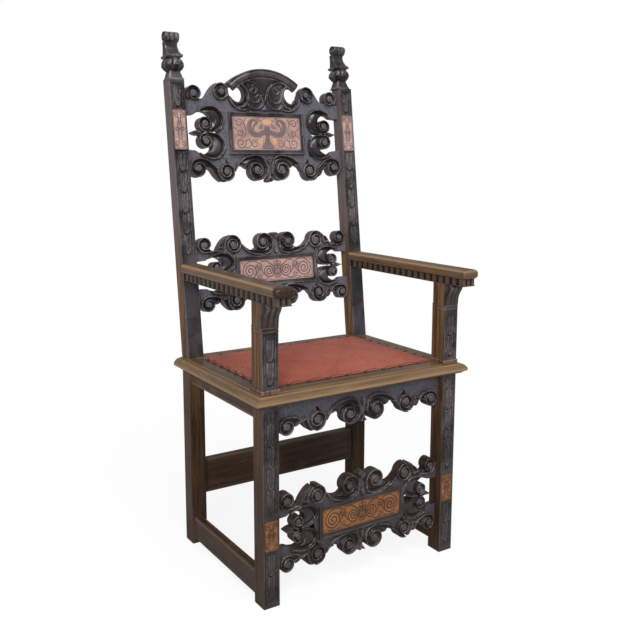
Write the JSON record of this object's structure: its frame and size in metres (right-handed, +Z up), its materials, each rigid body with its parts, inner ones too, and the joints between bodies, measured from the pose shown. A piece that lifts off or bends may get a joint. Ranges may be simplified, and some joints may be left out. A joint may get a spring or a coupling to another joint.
{
  "type": "wainscot armchair",
  "caption": "High-backed armchair of joined wood with pierced, scroll-carved back rails, apron and stretcher, flat arms and an upholstered seat.",
  "frame": {"origin": "on the floor, under the middle of the chair's bounding box", "axes": "+Z up, -Y to the front of the chair, +X to the right of a viewer who faces the chair"},
  "size_m": [0.588, 0.566, 1.2823],
  "materials": {
    "dark_carved_oak": "satin",
    "worn_golden_oak": "satin",
    "tan_inlay": "satin",
    "orange_inlay": "satin",
    "red_cover": "woven",
    "jute_webbing": "woven",
    "hessian": "woven",
    "stuffing": "matte",
    "dark_iron": "satin"
  },
  "bodies": {
    "root": {"crest_rail": "dark_carved_oak", "crest_arch_moulding": "dark_carved_oak", "lower_back_rail": "dark_carved_oak", "front_apron": "dark_carved_oak", "front_stretcher": "dark_carved_oak", "finial_left": "dark_carved_oak", "finial_right": "dark_carved_oak", "rear_post_left": "dark_carved_oak", "rear_post_right": "dark_carved_oak", "front_leg_left": "dark_carved_oak", "front_leg_right": "dark_carved_oak", "arm_support_left": "dark_carved_oak", "arm_support_right": "dark_carved_oak", "rear_stretcher": "dark_carved_oak", "rear_seat_rail": "dark_carved_oak", "side_seat_rail_left": "dark_carved_oak", "side_seat_rail_right": "dark_carved_oak", "side_stretcher_left": "dark_carved_oak", "side_stretcher_right": "dark_carved_oak", "arm_board_left": "worn_golden_oak", "arm_board_right": "worn_golden_oak", "arm_frieze_left": "worn_golden_oak", "arm_frieze_right": "worn_golden_oak", "seat_frame_front": "worn_golden_oak", "seat_frame_rear": "worn_golden_oak", "seat_frame_left": "worn_golden_oak", "seat_frame_right": "worn_golden_oak", "crest_plaque": "tan_inlay", "post_plaque_left": "tan_inlay", "post_plaque_right": "tan_inlay", "lower_back_plaque": "tan_inlay", "front_stretcher_plaque": "orange_inlay", "leg_plaque_left": "orange_inlay", "leg_plaque_right": "orange_inlay", "seat_webbing": "jute_webbing", "seat_base_cloth": "hessian", "seat_stuffing": "stuffing", "seat_cover": "red_cover", "seat_tacks": "dark_iron"}
  },
  "joints": []
}
